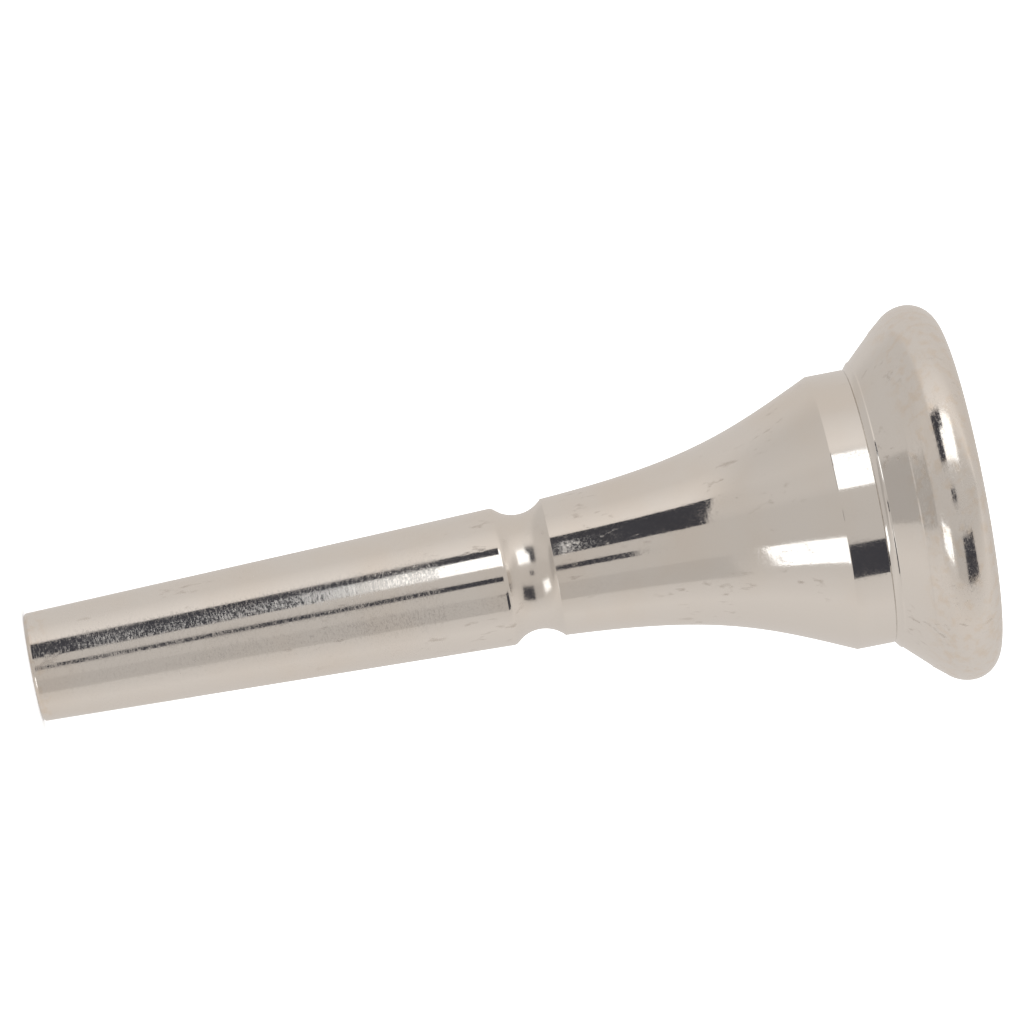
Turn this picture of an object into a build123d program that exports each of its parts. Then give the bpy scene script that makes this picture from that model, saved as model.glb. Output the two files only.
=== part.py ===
"""Horn mouthpiece with a screw-on rim: two turned, silver-plated brass pieces.

Lengths are in millimetres. Z is the bore axis: the shank's small end lies on z = 0 and the rim is at the top.
Every outline is drawn as (radius, height) and turned about Z.
"""
from build123d import *
from math import atan, cos, degrees, radians, sin, sqrt, tan
import os

# ---- driving dimensions -------------------------------------------------------------------------
# overall
length = 65.0
rim_r = 13.05                 # widest radius of the rim

# shank and waist
shank_end_r = 3.73            # outside radius of the taper, carried on to z = 0
shank_taper = 0.0322          # growth of radius per millimetre of height
shank_edge_round = 0.3
waist_z = 34.4                # middle of the groove round the waist
waist_r = 4.01
waist_arc_r = 2.3
waist_shoulder_round = 0.5

# flared body and the band round the thread socket
flare_start_r = 4.75
flare_start_slope = 0.06     # growth of radius per millimetre of height
flare_start_pull = 10.25       # length of the curve's handle at each end
flare_end_slope = 0.46
flare_end_pull = 6.0
band_r = 9.5
band_bottom_z = 55.5
band_top_z = 58.02            # where the band's upper edge breaks inwards
seam_z = 58.1                 # the seat face on which the rim is screwed down
seam_r = 9.44                 # bottom of the groove round the seam

# rim, outside
rim_lip_z = 58.11
neck_bottom = (9.94, 58.5)
neck_land = 0.1               # height of the narrow upright step below the neck
neck_top = (11.6, 60.36)
bead_start = (11.72, 60.45)    # the bead stands just proud of the neck
widest_z = 62.95
bead_under_r = 2.5            # arc below the widest circle
bead_under_deg = 43.7
neck_round = 0.06

# rim, inside, and the cup
bite_r = 8.75                 # inside radius of the rim
bite_depth = 1.7              # height of the crest's inner curve
cup_wall_deg = 12.6           # cup wall from the axis
throat_r = 2.3
throat_length = 6.0
throat_entry_r = 14.0         # arc that leads the cup into the throat
backbore_exit_r = 2.95

# screw thread between the two pieces, nominal 16.9 x 0.75
thread_pitch = 0.75
thread_depth = 0.35
thread_root_half = 0.045      # half the width of the groove's bottom
thread_flank_deg = 30.0
collar_r = 8.35               # crest of the outside thread on the rim's collar
socket_r = 8.39               # crest of the inside thread in the socket
collar_end_z = 55.4
socket_floor_z = 55.35
thread_overrun = 0.15         # how far the cutter stands out of the work
undercut = 0.6                # height of the plain recess where each thread runs out
undercut_extra = 0.04         # how much deeper than the thread that recess is
collar_chamfer = 0.3
socket_chamfer = 0.25

# ---- derived -------------------------------------------------------------------------------------
crest_r = rim_r - (length - widest_z)    # the crest is one arc radius inside the widest circle
wall_slope = tan(radians(cup_wall_deg))
bite_width = crest_r - bite_r
crest_turn = atan(bite_width / (bite_depth * wall_slope))
wall_top_r = crest_r - bite_width * sin(crest_turn)
wall_top_z = length - bite_depth + bite_depth * cos(crest_turn)
entry_end_r = throat_r + throat_entry_r * (1 - cos(radians(cup_wall_deg)))
entry_end_z = wall_top_z - (wall_top_r - entry_end_r) / wall_slope
throat_top_z = entry_end_z - throat_entry_r * sin(radians(cup_wall_deg))
throat_bottom_z = throat_top_z - throat_length
collar_root_r = collar_r - thread_depth
socket_root_r = socket_r + thread_depth
cutter_half = thread_root_half + (thread_depth + thread_overrun) * tan(radians(thread_flank_deg))
run_out = cutter_half + 0.01             # from the end face of each recess to the groove's middle


def shank_r(z):
    """Outside radius of the shank's taper at a height."""
    return shank_end_r + shank_taper * z


def cup_wall_r(z):
    """Radius of the cup's straight wall at a height."""
    return wall_top_r - wall_slope * (wall_top_z - z)


def waist_corner(side):
    """Where the waist's arc meets the shank (side -1) or the flared body (side 1)."""
    centre_r = waist_r + waist_arc_r
    edge_r = shank_r(waist_z - waist_arc_r) if side < 0 else flare_start_r
    return edge_r, waist_z + side * sqrt(waist_arc_r**2 - (centre_r - edge_r) ** 2)


def flare_curve(start, end):
    """The trumpet flare from the waist to the band, one cubic curve with a handle at each end."""
    start_handle = (start[0] + flare_start_pull * flare_start_slope, start[1] + flare_start_pull)
    end_handle = (end[0] - flare_end_pull * flare_end_slope, end[1] - flare_end_pull)
    return Bezier(start, start_handle, end_handle, end)


def rounded(face, corner, radius):
    """The face with its corner nearest to a point rounded off."""
    point = Vector(corner[0], corner[1])
    nearest = min(face.vertices(), key=lambda vertex: (Vector(vertex) - point).length)
    return fillet(nearest, radius)


def turned(face):
    """The solid that an outline drawn as (radius, height) sweeps about Z."""
    return revolve(Plane.XZ * face, Axis.Z, 360)


def thread_groove(outer_r, outer_half, inner_r, inner_half, bottom_z, top_z):
    """A right-hand V groove with a narrow flat bottom, wound round Z between two heights."""
    section = Polyline(
        (outer_r, bottom_z - outer_half),
        (inner_r, bottom_z - inner_half),
        (inner_r, bottom_z + inner_half),
        (outer_r, bottom_z + outer_half),
        close=True,
    )
    middle_r = (outer_r + inner_r) / 2
    path = Helix(thread_pitch, top_z - bottom_z, middle_r, center=(0, 0, bottom_z))
    return sweep(Plane.XZ * make_face(section), path=path, is_frenet=True)


def cup_and_shank():
    """The underpart: shank, waist, flared body and band outside; socket, cup and backbore inside."""
    shoulder = waist_corner(-1)
    flare_start = waist_corner(1)
    waist_bottom = (waist_r, waist_z)
    flare_end = (band_r, band_bottom_z)
    entry_end = (entry_end_r, entry_end_z)
    entry_deg = 180 - cup_wall_deg
    outside = [
        Line((backbore_exit_r, 0), (shank_end_r, 0)),
        Line((shank_end_r, 0), shoulder),
        ThreePointArc(shoulder, waist_bottom, flare_start),
        flare_curve(flare_start, flare_end),
        Polyline(
            flare_end,
            (band_r, band_top_z),
            (seam_r, band_top_z + band_r - seam_r),
            (seam_r, seam_z),
        ),
    ]
    socket = Polyline(
        (seam_r, seam_z),
        (socket_r, seam_z),
        (socket_r, socket_floor_z + undercut),
        (socket_root_r + undercut_extra, socket_floor_z + undercut),
        (socket_root_r + undercut_extra, socket_floor_z),
        (cup_wall_r(socket_floor_z), socket_floor_z),
        entry_end,
    )
    throat_entry = CenterArc(
        (throat_r + throat_entry_r, throat_top_z), throat_entry_r, entry_deg, cup_wall_deg
    )
    bore = Polyline((throat_r, throat_top_z), (throat_r, throat_bottom_z), (backbore_exit_r, 0))
    face = make_face([*outside, socket, throat_entry, bore])
    face = rounded(face, (shank_end_r, 0), shank_edge_round)
    face = rounded(face, shoulder, waist_shoulder_round)
    groove = thread_groove(
        socket_root_r,
        thread_root_half,
        socket_r - thread_overrun,
        cutter_half,
        socket_floor_z + run_out,
        seam_z + thread_pitch,
    )
    mouth = Polyline(
        (socket_r - thread_overrun, seam_z - socket_chamfer - thread_overrun),
        (socket_r + socket_chamfer + thread_overrun, seam_z + thread_overrun),
        (socket_r - thread_overrun, seam_z + thread_overrun),
        close=True,
    )
    return turned(face) - groove - turned(make_face(mouth))


def rim():
    """The rim with its neck and bead outside, the crest and bite inside, and the threaded collar below."""
    bead_centre = (rim_r - bead_under_r, widest_z)
    crest_centre = (crest_r, length - bite_depth)
    bead_arc_start = (
        bead_centre[0] + bead_under_r * cos(radians(bead_under_deg)),
        bead_centre[1] - bead_under_r * sin(radians(bead_under_deg)),
    )
    collar = Polyline(
        (wall_top_r, wall_top_z),
        (cup_wall_r(collar_end_z), collar_end_z),
        (collar_r - collar_chamfer, collar_end_z),
        (collar_r, collar_end_z + collar_chamfer),
        (collar_r, seam_z - undercut),
        (collar_root_r - undercut_extra, seam_z - undercut),
        (collar_root_r - undercut_extra, seam_z),
        (seam_r, seam_z),
    )
    land_top = (neck_bottom[0], neck_bottom[1] + neck_land)
    neck = Polyline(
        (seam_r, seam_z), (seam_r, rim_lip_z), neck_bottom, land_top, neck_top, bead_start, bead_arc_start
    )
    bead_under = CenterArc(bead_centre, bead_under_r, -bead_under_deg, bead_under_deg)
    bead_over = CenterArc((crest_r, widest_z), rim_r - crest_r, 0, 90)
    crest = EllipticalCenterArc(
        crest_centre, bite_width, bite_depth, start_angle=90, arc_size=degrees(crest_turn)
    )
    face = make_face([collar, neck, bead_under, bead_over, crest])
    face = rounded(face, neck_bottom, neck_round)
    groove = thread_groove(
        collar_r + thread_overrun,
        cutter_half,
        collar_root_r,
        thread_root_half,
        collar_end_z - thread_pitch / 2,
        seam_z - run_out,
    )
    return turned(face) - groove


os.makedirs("parts", exist_ok=True)
for name, solid in {"cup_and_shank": cup_and_shank(), "rim": rim()}.items():
    export_step(solid, f"parts/{name}.step")
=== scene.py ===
"""Silver-plated horn mouthpiece with a screw rim, in a light tent with a few plain panels.

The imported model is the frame. Both turned pieces are made again here at the CAD sizes, with finer rows and
broken edges, and each rides on its own body and stands for its CAD node.
Outlines are (radius, height) in millimetres; everything placed in the scene is in metres.
"""
import bpy
import numpy as np
from math import atan, cos, degrees, pi, radians, sin, sqrt, tan
from mathutils import Matrix, Vector


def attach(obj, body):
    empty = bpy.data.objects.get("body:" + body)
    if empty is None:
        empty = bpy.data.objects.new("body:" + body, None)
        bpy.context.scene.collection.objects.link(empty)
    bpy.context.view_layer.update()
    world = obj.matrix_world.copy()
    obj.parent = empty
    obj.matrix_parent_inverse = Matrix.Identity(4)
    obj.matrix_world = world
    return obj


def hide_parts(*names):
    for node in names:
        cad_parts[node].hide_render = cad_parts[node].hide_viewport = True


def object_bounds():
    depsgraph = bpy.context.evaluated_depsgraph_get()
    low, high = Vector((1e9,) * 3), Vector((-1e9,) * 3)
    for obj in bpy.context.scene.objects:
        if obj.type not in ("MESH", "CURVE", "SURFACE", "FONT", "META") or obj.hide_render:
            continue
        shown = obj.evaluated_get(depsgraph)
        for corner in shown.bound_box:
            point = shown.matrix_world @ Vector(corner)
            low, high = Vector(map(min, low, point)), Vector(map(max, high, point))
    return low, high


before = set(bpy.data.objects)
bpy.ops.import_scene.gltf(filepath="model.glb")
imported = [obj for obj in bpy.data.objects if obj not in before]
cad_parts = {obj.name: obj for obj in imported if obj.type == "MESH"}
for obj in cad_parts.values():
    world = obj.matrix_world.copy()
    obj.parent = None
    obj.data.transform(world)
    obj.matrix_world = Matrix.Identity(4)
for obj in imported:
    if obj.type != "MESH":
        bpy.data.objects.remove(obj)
cad_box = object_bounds()

MM = 0.001
SEGMENTS = 256

# ---- the object's driving sizes, in millimetres ----------------------------------------------------
length = (cad_box[1].z - cad_box[0].z) / MM
rim_r = (cad_box[1].x - cad_box[0].x) / 2 / MM

shank_end_r = 3.73
shank_taper = 0.0322
shank_edge_round = 0.3
waist_z = 34.4
waist_r = 4.01
waist_arc_r = 2.3
waist_shoulder_round = 0.5

flare_start_r = 4.75
flare_start_slope = 0.06
flare_start_pull = 10.25
flare_end_slope = 0.46
flare_end_pull = 6.0
band_r = 9.5
band_bottom_z = 55.5
band_top_z = 58.02
seam_z = 58.1
seam_r = 9.44

rim_lip_z = 58.11
neck_bottom = (9.94, 58.5)
neck_land = 0.1
neck_top = (11.6, 60.36)
bead_start = (11.72, 60.45)
widest_z = 62.95
bead_under_r = 2.5
bead_under_deg = 43.7

bite_r = 8.75
bite_depth = 1.7
cup_wall_deg = 12.6
throat_r = 2.3
throat_length = 6.0
throat_entry_r = 14.0
backbore_exit_r = 2.95

thread_pitch = 0.75
thread_depth = 0.35
thread_root_half = 0.045
thread_flank_deg = 30.0
collar_r = 8.35
socket_r = 8.39
collar_end_z = 55.4
socket_floor_z = 55.35
undercut = 0.6
undercut_extra = 0.04
collar_chamfer = 0.3
socket_chamfer = 0.25
cutter_overrun = 0.15
edge_break = 0.05             # radius left on a turned corner, unless one of these is named
flare_end_break = 0.15
band_top_break = 0.08
neck_foot_break = 0.06
bead_break = 0.04
throat_exit_break = 0.6
thread_row = 0.05             # height of a mesh row in a threaded stretch

crest_r = rim_r - (length - widest_z)
wall_slope = tan(radians(cup_wall_deg))
bite_width = crest_r - bite_r
crest_turn = atan(bite_width / (bite_depth * wall_slope))
wall_top_r = crest_r - bite_width * sin(crest_turn)
wall_top_z = length - bite_depth + bite_depth * cos(crest_turn)
entry_end_r = throat_r + throat_entry_r * (1 - cos(radians(cup_wall_deg)))
entry_end_z = wall_top_z - (wall_top_r - entry_end_r) / wall_slope
throat_top_z = entry_end_z - throat_entry_r * sin(radians(cup_wall_deg))
throat_bottom_z = throat_top_z - throat_length
cutter_half = thread_root_half + (thread_depth + cutter_overrun) * tan(radians(thread_flank_deg))
run_out = cutter_half + 0.01


# ---- outlines --------------------------------------------------------------------------------------
def shank_r(z):
    """Outside radius of the shank's taper at a height."""
    return shank_end_r + shank_taper * z


def cup_wall_r(z):
    """Radius of the cup's straight wall at a height."""
    return wall_top_r - wall_slope * (wall_top_z - z)


def arc(centre, radius, start_deg, end_deg, steps=24, squash=1.0):
    """Points round a circle, or round an ellipse whose height is squash times its width."""
    turns = [radians(start_deg + (end_deg - start_deg) * i / steps) for i in range(steps + 1)]
    return [(centre[0] + radius * cos(t), centre[1] + radius * squash * sin(t)) for t in turns]


def bezier(start, start_handle, end_handle, end, steps=80):
    """Points along one cubic curve."""
    points = []
    for i in range(steps + 1):
        t = i / steps
        weights = ((1 - t) ** 3, 3 * t * (1 - t) ** 2, 3 * t**2 * (1 - t), t**3)
        corners = (start, start_handle, end_handle, end)
        points.append(tuple(sum(w * c[k] for w, c in zip(weights, corners)) for k in (0, 1)))
    return points


def broken(before, corner, after, radius=edge_break, steps=5):
    """The corner of an outline, rounded off between the points before and after it."""
    here = Vector(corner)
    back = (Vector(before) - here).normalized()
    on = (Vector(after) - here).normalized()
    half = back.angle(on) / 2
    centre = here + (back + on).normalized() * (radius / sin(half))
    start = (here + back * (radius / tan(half)) - centre).normalized()
    end = (here + on * (radius / tan(half)) - centre).normalized()
    return [tuple(centre + radius * start.slerp(end, i / steps)) for i in range(steps + 1)]


def waist_corner(side):
    """Where the waist's arc meets the shank (side -1) or the flared body (side 1)."""
    centre_r = waist_r + waist_arc_r
    edge_r = shank_r(waist_z - waist_arc_r) if side < 0 else flare_start_r
    return edge_r, waist_z + side * sqrt(waist_arc_r**2 - (centre_r - edge_r) ** 2)


def threaded(radius_at, low_z, high_z):
    """Rows of a threaded stretch, from one height to the other, at the crest's radius and marked True."""
    steps = round(abs(high_z - low_z) / thread_row)
    heights = [low_z + (high_z - low_z) * i / steps for i in range(steps + 1)]
    return [(radius_at(z), z, True) for z in heights]


def groove_depth(z, angle, start_z):
    """How deep the thread's groove is at a height and an angle round Z, if it starts at start_z."""
    along = (z - start_z - thread_pitch * angle / (2 * pi)) % thread_pitch
    from_middle = np.minimum(along, thread_pitch - along)
    slope = tan(radians(thread_flank_deg))
    return np.clip(thread_depth - (from_middle - thread_root_half) / slope, 0, thread_depth)


def underpart_outline():
    """Shank, waist, flare and band up the outside; socket, cup, throat and backbore down the inside."""
    shoulder = waist_corner(-1)
    flare_start = waist_corner(1)
    flare_end = (band_r, band_bottom_z)
    waist_centre = (waist_r + waist_arc_r, waist_z)
    shoulder_deg = 180 + degrees(atan((waist_z - shoulder[1]) / (waist_centre[0] - shoulder[0])))
    flare_deg = 180 - degrees(atan((flare_start[1] - waist_z) / (waist_centre[0] - flare_start[0])))
    waist = arc(waist_centre, waist_arc_r, shoulder_deg, flare_deg, 48)
    flare = bezier(
        flare_start,
        (flare_start[0] + flare_start_pull * flare_start_slope, flare_start[1] + flare_start_pull),
        (flare_end[0] - flare_end_pull * flare_end_slope, flare_end[1] - flare_end_pull),
        flare_end,
    )
    band_top = (band_r, band_top_z)
    seam_edge = (seam_r, band_top_z + band_r - seam_r)
    seam = (seam_r, seam_z)
    socket_mouth = (socket_r + socket_chamfer, seam_z)
    socket_lip = (socket_r, seam_z - socket_chamfer)
    recess_r = socket_r + thread_depth + undercut_extra
    recess_top_z = socket_floor_z + undercut
    ledge = (cup_wall_r(socket_floor_z), socket_floor_z)
    recess = [(socket_r, recess_top_z), (recess_r, recess_top_z), (recess_r, socket_floor_z)]
    entry = arc(
        (throat_r + throat_entry_r, throat_top_z), throat_entry_r, 180 - cup_wall_deg, 180, 24
    )
    return [
        (backbore_exit_r, 0),
        *broken((0, 0), (shank_end_r, 0), (shank_r(5), 5), shank_edge_round, 8),
        *broken((shank_r(5), 5), shoulder, waist[4], waist_shoulder_round, 8),
        *waist[9:-2],
        *broken(waist[-3], flare_start, flare[2]),
        *flare[2:-1],
        *broken(flare[-2], flare_end, band_top, flare_end_break),
        *broken(flare_end, band_top, seam_edge, band_top_break),
        seam_edge,
        seam,
        socket_mouth,
        *threaded(lambda z: socket_r + max(0, z - socket_lip[1]), seam_z - 0.01, recess_top_z),
        *recess,
        *broken(recess[-1], ledge, (entry_end_r, entry_end_z)),
        *entry,
        *broken(
            (throat_r, throat_top_z), (throat_r, throat_bottom_z), (backbore_exit_r, 0), throat_exit_break
        ),
    ]


def rim_outline():
    """Neck, bead and crest over the top; cup wall, collar and its thread back to the seam."""
    bead_centre = (rim_r - bead_under_r, widest_z)
    under = arc(bead_centre, bead_under_r, -bead_under_deg, 0, 32)
    over = arc((crest_r, widest_z), rim_r - crest_r, 0, 90, 40)
    crest = arc(
        (crest_r, length - bite_depth), bite_width, 90, 90 + degrees(crest_turn), 40, bite_depth / bite_width
    )
    collar_inner = (cup_wall_r(collar_end_z), collar_end_z)
    chamfer_start = (collar_r - collar_chamfer, collar_end_z)
    relief_r = collar_r - thread_depth - undercut_extra
    land_top = (neck_bottom[0], neck_bottom[1] + neck_land)
    return [
        (seam_r, seam_z),
        (seam_r, rim_lip_z),
        *broken((seam_r, rim_lip_z), neck_bottom, land_top, neck_foot_break, 6),
        *broken(neck_bottom, land_top, neck_top, neck_foot_break, 4),
        *broken(land_top, neck_top, bead_start, bead_break, 3),
        *broken(neck_top, bead_start, under[0], bead_break, 3),
        *under,
        *over[1:],
        *crest[1:],
        *broken(crest[-1], collar_inner, chamfer_start),
        chamfer_start,
        *threaded(
            lambda z: min(collar_r, chamfer_start[0] + z - collar_end_z),
            collar_end_z + 0.01,
            seam_z - undercut,
        ),
        (relief_r, seam_z - undercut),
        (relief_r, seam_z),
    ]


def turned(name, outline, body, start_z, inward):
    """One turned piece: the closed outline swept round Z, with its thread cut inwards or outwards."""
    rows = np.array([(*row, False)[:3] for row in outline], float)
    angle = np.linspace(0, 2 * pi, SEGMENTS, endpoint=False)
    cut = groove_depth(rows[:, 1:2], angle, start_z) * rows[:, 2:3]
    crest = rows[:, :1] + np.zeros(SEGMENTS)
    radius = crest - cut if inward else crest + cut
    height = rows[:, 1:2] + np.zeros(SEGMENTS)
    points = np.stack([radius * np.cos(angle), radius * np.sin(angle), height], axis=-1) * MM
    i, j = np.meshgrid(np.arange(len(rows)), np.arange(SEGMENTS), indexing="ij")
    up, on = (i + 1) % len(rows), (j + 1) % SEGMENTS
    quads = np.stack([i * SEGMENTS + j, i * SEGMENTS + on, up * SEGMENTS + on, up * SEGMENTS + j], axis=-1)
    mesh = bpy.data.meshes.new(name)
    mesh.from_pydata(points.reshape(-1, 3), [], quads.reshape(-1, 4).tolist())
    mesh.polygons.foreach_set("use_smooth", np.ones(len(mesh.polygons), bool))
    piece = bpy.data.objects.new(name, mesh)
    bpy.context.scene.collection.objects.link(piece)
    weighted = piece.modifiers.new("weighted normals", "WEIGHTED_NORMAL")
    weighted.weight = 100
    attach(piece, body)
    return piece


underpart = turned(
    "mouthpiece_underpart",
    underpart_outline(),
    "underpart",
    socket_floor_z + run_out,
    inward=False,
)
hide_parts("cup_and_shank")
screw_rim = turned(
    "mouthpiece_rim",
    rim_outline(),
    "screw_rim",
    collar_end_z - thread_pitch / 2,
    inward=True,
)
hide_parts("rim")


# ---- materials -------------------------------------------------------------------------------------
class Finish:
    """Short ways to build one node material. Sizes of patterns are in millimetres."""

    def __init__(self, name):
        self.material = bpy.data.materials.new(name)
        self.material.use_nodes = True
        self.nodes = self.material.node_tree.nodes
        self.shader = self.nodes["Principled BSDF"]
        self.place = self.node("ShaderNodeTexCoord").outputs["Object"]

    def node(self, kind, **settings):
        """A new node, with its properties set."""
        made = self.nodes.new(kind)
        for key, value in settings.items():
            setattr(made, key, value)
        return made

    def link(self, source, socket):
        """Joins an output to a socket, or sets the socket to a plain value."""
        if isinstance(source, bpy.types.NodeSocket):
            self.material.node_tree.links.new(source, socket)
        else:
            socket.default_value = source

    def math(self, operation, first, second=0.0):
        """One sum on two values."""
        made = self.node("ShaderNodeMath", operation=operation)
        self.link(first, made.inputs[0])
        self.link(second, made.inputs[1])
        return made.outputs[0]

    def noise(self, across, up, detail=2.0, shift=0.0):
        """Noise whose grain is so wide round the piece and so tall along it."""
        mapping = self.node("ShaderNodeMapping")
        self.link(self.place, mapping.inputs["Vector"])
        mapping.inputs["Scale"].default_value = (1 / across / MM, 1 / across / MM, 1 / up / MM)
        mapping.inputs["Location"].default_value = (shift, shift, shift)
        made = self.node("ShaderNodeTexNoise")
        made.inputs["Scale"].default_value = 1.0
        made.inputs["Detail"].default_value = detail
        self.link(mapping.outputs[0], made.inputs["Vector"])
        return made.outputs["Fac"]

    def between(self, value, low, high, to_low=0.0, to_high=1.0):
        """The value stretched smoothly from one range to another, and held at its ends."""
        made = self.node("ShaderNodeMapRange", interpolation_type="SMOOTHSTEP")
        self.link(value, made.inputs["Value"])
        for socket, number in zip(("From Min", "From Max", "To Min", "To Max"), (low, high, to_low, to_high)):
            made.inputs[socket].default_value = number
        return made.outputs[0]

    def near(self, heights, fade):
        """1 between two heights of the object in millimetres, falling to 0 outside them."""
        height = self.node("ShaderNodeSeparateXYZ")
        self.link(self.place, height.inputs[0])
        low = self.between(height.outputs["Z"], (heights[0] - fade) * MM, heights[0] * MM)
        high = self.between(height.outputs["Z"], heights[1] * MM, (heights[1] + fade) * MM, 1.0, 0.0)
        return self.math("MULTIPLY", low, high)

    def mix(self, amount, first, second):
        """A blend of two colours."""
        made = self.node("ShaderNodeMix", data_type="RGBA")
        self.link(amount, made.inputs["Factor"])
        self.link(first, made.inputs["A"])
        self.link(second, made.inputs["B"])
        return made.outputs["Result"]

    def bump(self, height, depth, under=None):
        """Relief of that depth in millimetres, on top of another."""
        made = self.node("ShaderNodeBump")
        made.inputs["Strength"].default_value = 1.0
        made.inputs["Distance"].default_value = depth * MM
        self.link(height, made.inputs["Height"])
        if under:
            self.link(under, made.inputs["Normal"])
        return made.outputs[0]


def silver_plate(name, tarnish_heights, handled_heights):
    """Bright silver plate with lathe rings, buffing haze and pits, tarnished and worn at some heights."""
    finish = Finish(name)
    silver = (0.80, 0.77, 0.73, 1)
    warm = (0.78, 0.71, 0.63, 1)
    spot = (0.52, 0.47, 0.42, 1)
    film = finish.between(finish.noise(9, 7, 4), 0.42, 0.72, 0.0, 0.5)
    blotches = finish.between(finish.noise(0.8, 0.7, 5, 3), 0.42, 0.70)
    aged = finish.math("MULTIPLY", finish.near(tarnish_heights, 1.5), blotches)
    colour = finish.mix(finish.math("MAXIMUM", film, aged), silver, warm)
    marks = finish.math(
        "MULTIPLY",
        finish.between(finish.noise(0.5, 1.3, 4, 7), 0.58, 0.72),
        finish.between(finish.noise(5, 6, 2, 11), 0.50, 0.60),
    )
    marked = finish.mix(finish.math("MULTIPLY", marks, 0.5), colour, spot)
    finish.link(marked, finish.shader.inputs["Base Color"])

    buffed = finish.between(finish.noise(0.10, 0.16, 3, 5), 0.35, 0.75, 0.045, 0.14)
    cloudy = finish.between(finish.noise(5, 5, 3, 9), 0.45, 0.7, 0.0, 0.05)
    fretted = finish.between(finish.noise(0.28, 0.10, 3, 21), 0.40, 0.68, 0.0, 0.13)
    handled = finish.math("MULTIPLY", fretted, finish.near(handled_heights, 0.5))
    waist_heights = (waist_z - 1.4, waist_z + 1.4)
    hollow = finish.math("MULTIPLY", finish.near(waist_heights, 0.6), 0.10)
    rough = finish.math("ADD", finish.math("ADD", buffed, cloudy), finish.math("MAXIMUM", hollow, handled))
    rough = finish.math("ADD", rough, finish.math("MULTIPLY", marks, 0.2))
    finish.link(rough, finish.shader.inputs["Roughness"])
    finish.shader.inputs["Metallic"].default_value = 1.0

    rings = finish.bump(finish.noise(8, 0.22, 1, 13), 0.0009)
    peel = finish.bump(finish.noise(1.2, 1.6, 2, 17), 0.0030, rings)
    pits = finish.bump(marks, -0.0025, peel)
    finish.link(pits, finish.shader.inputs["Normal"])
    return finish.material


underpart.data.materials.append(silver_plate("underpart_silver", (-1.0, 0.5), (-1.0, 28.0)))
screw_rim.data.materials.append(silver_plate("rim_silver", (61.0, 65.1), (60.5, 65.1)))


# ---- light tent, seen only in the metal ------------------------------------------------------------
tent_middle = Vector((0, 0, 30)) * MM
tent_r = 0.9
back, right_side, front, left_side, left_back = 0.66, 0.76, 0.60, 0.87, 0.71    # brightness of the cloth
cloth_by_bearing = (
    (-180, back), (-90, right_side), (-30, front), (18, front), (55, left_side), (90, left_back), (180, back)
)
panel_distance = 0.6
panel_step = 2.0              # degrees between a panel's mesh points
warm_grey = (1.0, 0.94, 0.89)


def tent_point(bearing, elevation, distance):
    """The point in a direction from the tent's middle: bearing in degrees from -Y towards -X."""
    turn, rise = radians(bearing), radians(elevation)
    return tent_middle + distance * Vector((-sin(turn) * cos(rise), -cos(turn) * cos(rise), sin(rise)))


def glow(name, colour, strength):
    """A material that only gives off light."""
    material = bpy.data.materials.new(name)
    material.use_nodes = True
    nodes = material.node_tree.nodes
    nodes.remove(nodes["Principled BSDF"])
    light = nodes.new("ShaderNodeEmission")
    light.inputs["Color"].default_value = (*colour, 1)
    light.inputs["Strength"].default_value = strength
    material.node_tree.links.new(light.outputs[0], nodes["Material Output"].inputs["Surface"])
    return material


def seen_in_metal_only(piece):
    """Marks a stage piece that shows in reflections and nowhere else."""
    piece.visible_camera = False
    piece.visible_diffuse = False
    piece.visible_shadow = False


def panel(name, bearings, elevations, colour, strength=1.0):
    """A rectangular panel curved round the tent's middle, between two bearings and two elevations."""
    turns, rises = (
        np.linspace(low, high, 2 + int((high - low) / panel_step)) for low, high in (bearings, elevations)
    )
    points = [tent_point(turn, rise, panel_distance) for rise in rises for turn in turns]
    wide = len(turns)
    faces = [
        (row * wide + i, row * wide + i + 1, (row + 1) * wide + i + 1, (row + 1) * wide + i)
        for row in range(len(rises) - 1)
        for i in range(wide - 1)
    ]
    mesh = bpy.data.meshes.new(name)
    mesh.from_pydata(points, [], faces)
    mesh.materials.append(glow(name, colour, strength))
    piece = bpy.data.objects.new(name, mesh)
    bpy.context.scene.collection.objects.link(piece)
    seen_in_metal_only(piece)


def tinted(brightness):
    """The tent's warm grey at a brightness."""
    return [brightness * part for part in warm_grey]


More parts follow.
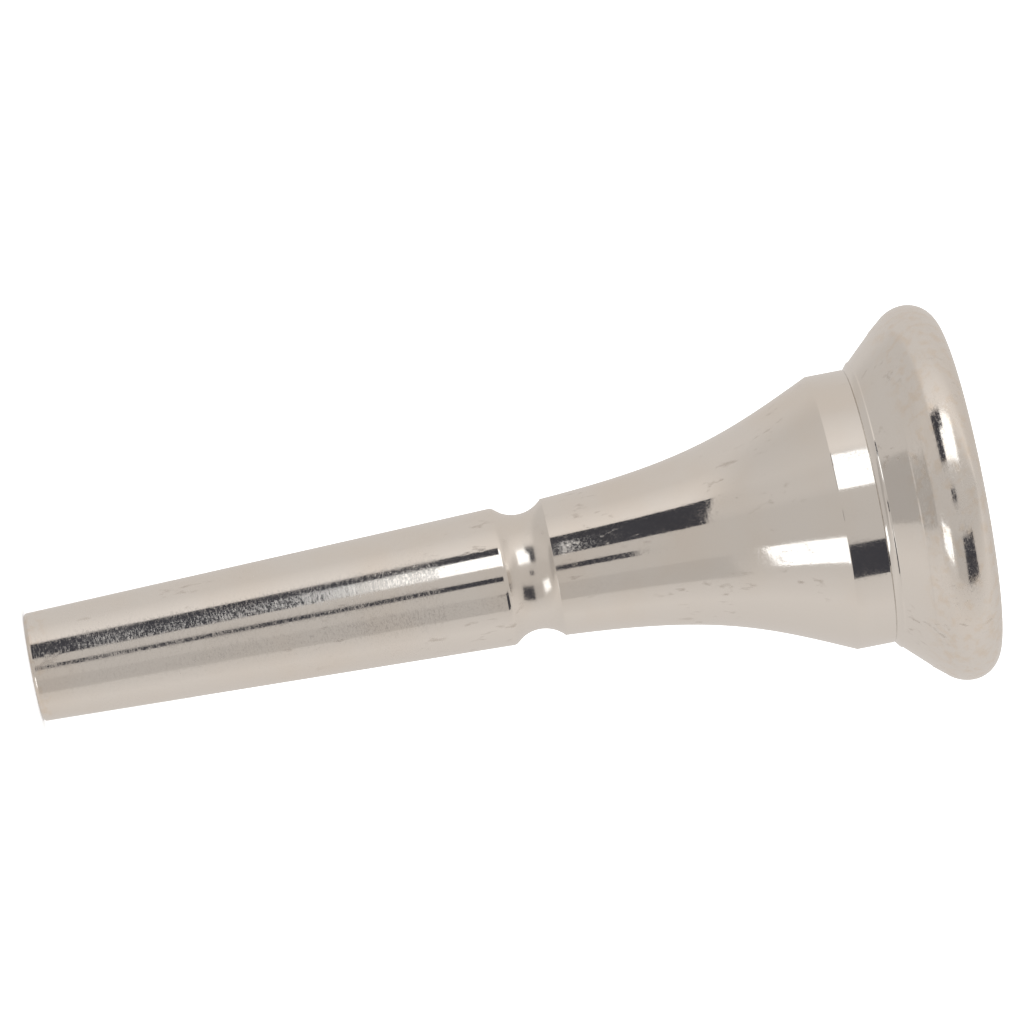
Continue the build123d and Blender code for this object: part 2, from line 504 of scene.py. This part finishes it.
def tent():
    """The tent's cloth: warm light grey, brightest at both sides, duller in front and low down towards -X."""
    bpy.ops.mesh.primitive_uv_sphere_add(segments=64, ring_count=32, radius=tent_r, location=tent_middle)
    cloth = bpy.context.object
    cloth.name = "tent"
    finish = Finish("tent")
    parts = finish.node("ShaderNodeSeparateXYZ")
    finish.link(finish.place, parts.inputs[0])
    x = finish.math("MULTIPLY", parts.outputs["X"], -1)
    y = finish.math("MULTIPLY", parts.outputs["Y"], -1)
    turn = finish.math("ARCTAN2", x, y)
    cloth_colour = finish.node("ShaderNodeValToRGB")
    stops = cloth_colour.color_ramp.elements
    for end in stops:
        end.color = (*tinted(back), 1)
    for bearing, brightness in cloth_by_bearing[1:-1]:
        stops.new((bearing + 180) / 360).color = (*tinted(brightness), 1)
    along_ramp = finish.math("ADD", finish.math("MULTIPLY", turn, 0.5 / pi), 0.5)
    finish.link(along_ramp, cloth_colour.inputs["Fac"])
    low_start, low_end = (tent_r * sin(radians(elevation)) for elevation in (-28, -16))
    low = finish.between(parts.outputs["Z"], low_start, low_end, 0.75, 0.0)
    low = finish.math("MULTIPLY", low, finish.between(turn, radians(10), radians(45)))
    light = finish.node("ShaderNodeEmission")
    finish.link(finish.mix(low, cloth_colour.outputs["Color"], (*tinted(front), 1)), light.inputs["Color"])
    finish.link(light.outputs[0], finish.nodes["Material Output"].inputs["Surface"])
    finish.nodes.remove(finish.shader)
    cloth.data.materials.append(finish.material)
    seen_in_metal_only(cloth)


tent()
white = (1, 1, 1)
softbox = 1.6                 # strength of the white panels
near_black = (0.055, 0.055, 0.065)
panel("white_panel", (18, 38), (-4, 36), white, softbox)
panel("white_panel_outer", (38, 48), (6, 36), white, softbox)
panel("dark_flag", (18, 50), (-22, -4), near_black)
panel("dark_flag_outer", (38, 50), (-4, 6), near_black)
panel("dark_strip", (-7, 1), (-10, 4), near_black)
panel("black_panel", (-58, -28), (0, 36), near_black)
panel("grey_panel", (-58, -28), (-25, 0), tinted(0.55))
panel("low_white_panel", (-50, -25), (-56, -33), white, softbox)
panel("ground_cloth", (-50, 100), (-85, -70), tinted(0.47))

# ---- floor, world and camera -----------------------------------------------------------------------
floor_r = 0.35
pale = (0.92, 0.92, 0.92, 1)
world_strength = 1.7

bpy.ops.mesh.primitive_circle_add(vertices=96, radius=floor_r, fill_type="NGON")
floor = bpy.context.object
floor.name = "floor"
paint = bpy.data.materials.new("floor")
paint.use_nodes = True
paint.node_tree.nodes["Principled BSDF"].inputs["Base Color"].default_value = pale
paint.node_tree.nodes["Principled BSDF"].inputs["Roughness"].default_value = 0.6
floor.data.materials.append(paint)
floor.visible_glossy = False

world = bpy.data.worlds.new("white")
world.use_nodes = True
world.node_tree.nodes["Background"].inputs["Color"].default_value = (1, 1, 1, 1)
world.node_tree.nodes["Background"].inputs["Strength"].default_value = world_strength
bpy.context.scene.world = world
bpy.context.scene.view_settings.view_transform = "Standard"

camera_distance = 0.400
sensor_width = 36             # in millimetres, as the lens is
view_width = 0.070            # width of the view at the object
view_rise_deg = 1.7           # the camera looks up the axis by this much
view_roll_deg = 10.95         # the axis rises to the right by this much
aim = Vector((-4.22, 0, 34.07)) * MM
forward = Vector((0, cos(radians(view_rise_deg)), sin(radians(view_rise_deg))))
along = Vector((0, -sin(radians(view_rise_deg)), cos(radians(view_rise_deg))))
across = Vector((-1, 0, 0))
right = cos(radians(view_roll_deg)) * along - sin(radians(view_roll_deg)) * across
up = sin(radians(view_roll_deg)) * along + cos(radians(view_roll_deg)) * across
camera_data = bpy.data.cameras.new("camera")
camera_data.sensor_width = sensor_width
camera_data.lens = sensor_width * camera_distance / view_width
camera_data.clip_start = 0.01
camera = bpy.data.objects.new("camera", camera_data)
bpy.context.scene.collection.objects.link(camera)
camera.matrix_world = (
    Matrix.Translation(aim - camera_distance * forward) @ Matrix((right, up, -forward)).transposed().to_4x4()
)
bpy.context.scene.camera = camera
